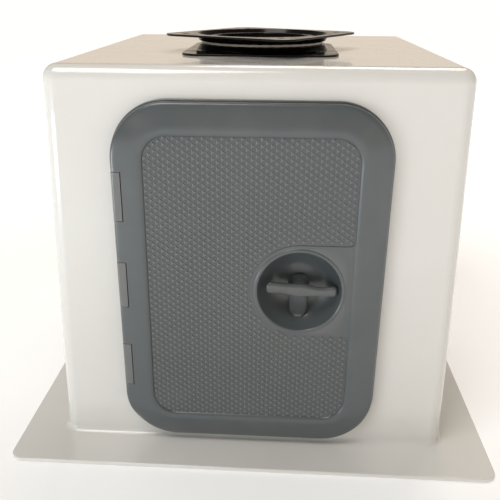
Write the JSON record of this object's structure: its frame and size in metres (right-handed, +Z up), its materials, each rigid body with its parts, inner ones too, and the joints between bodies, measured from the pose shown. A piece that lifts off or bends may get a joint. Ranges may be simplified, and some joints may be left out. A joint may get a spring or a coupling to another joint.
{
  "type": "boat seat box",
  "caption": "Moulded seat box with a foot flange, an access hatch with a turning T handle on its front, and a seat swivel on its top.",
  "frame": {"origin": "on the floor, under the middle of the box", "axes": "+X to the right seen from the front, -Y out of the hatch's face, +Z up"},
  "size_m": [0.54, 0.578, 0.439],
  "materials": {
    "gelcoat": "glossy white gelcoat over glass fibre",
    "plywood": "plain plywood",
    "hatch_plastic": "satin grey moulded plastic",
    "handle_plastic": "satin grey moulded plastic",
    "seal_rubber": "black rubber",
    "stainless": "plain stainless steel",
    "swivel_paint": "gloss black paint",
    "black_fasteners": "black coated steel",
    "ball_steel": "polished steel",
    "cage_plastic": "natural nylon",
    "bush_plastic": "black acetal"
  },
  "bodies": {
    "box": {"box_shell": "gelcoat", "top_backing_board": "plywood", "hatch_frame": "hatch_plastic", "hatch_frame_screws": "stainless", "hatch_seal": "seal_rubber", "hinge_pins": "stainless", "swivel_base_plate": "swivel_paint", "swivel_bolts": "black_fasteners", "swivel_washers": "black_fasteners", "swivel_nuts": "black_fasteners"},
    "hatch_lid": {"hatch_lid": "hatch_plastic", "latch_bush": "bush_plastic"},
    "latch": {"latch_handle": "handle_plastic", "latch_cam": "handle_plastic", "latch_washer": "stainless", "latch_screw": "stainless", "latch_o_ring": "seal_rubber"},
    "swivel_top": {"swivel_top_plate": "swivel_paint", "swivel_retaining_ring": "swivel_paint"},
    "ball_set": {"swivel_balls": "ball_steel", "ball_cage": "cage_plastic"}
  },
  "joints": [
    {"name": "hatch_hinge", "type": "hinge", "parent": "box", "child": "hatch_lid", "pos_m": [-0.1382, -0.23948, 0.20035], "axis": [0, -0.0305, -0.9995], "range_deg": [0, 170]},
    {"name": "latch_turn", "type": "hinge", "parent": "hatch_lid", "child": "latch", "pos_m": [0.049, -0.22797, 0.1975], "axis": [0, -0.9995, 0.0305], "range_deg": [0, 90]},
    {"name": "seat_swivel", "type": "hinge", "parent": "box", "child": "swivel_top", "pos_m": [0, -0.045, 0.4295], "axis": [0, 0, 1], "continuous": true},
    {"name": "ball_roll", "type": "hinge", "parent": "box", "child": "ball_set", "pos_m": [0, -0.045, 0.4295], "axis": [0, 0, 1], "continuous": true}
  ],
  "couplings": [
    {"joint": "ball_roll", "follows": "seat_swivel", "ratio": 0.5}
  ]
}
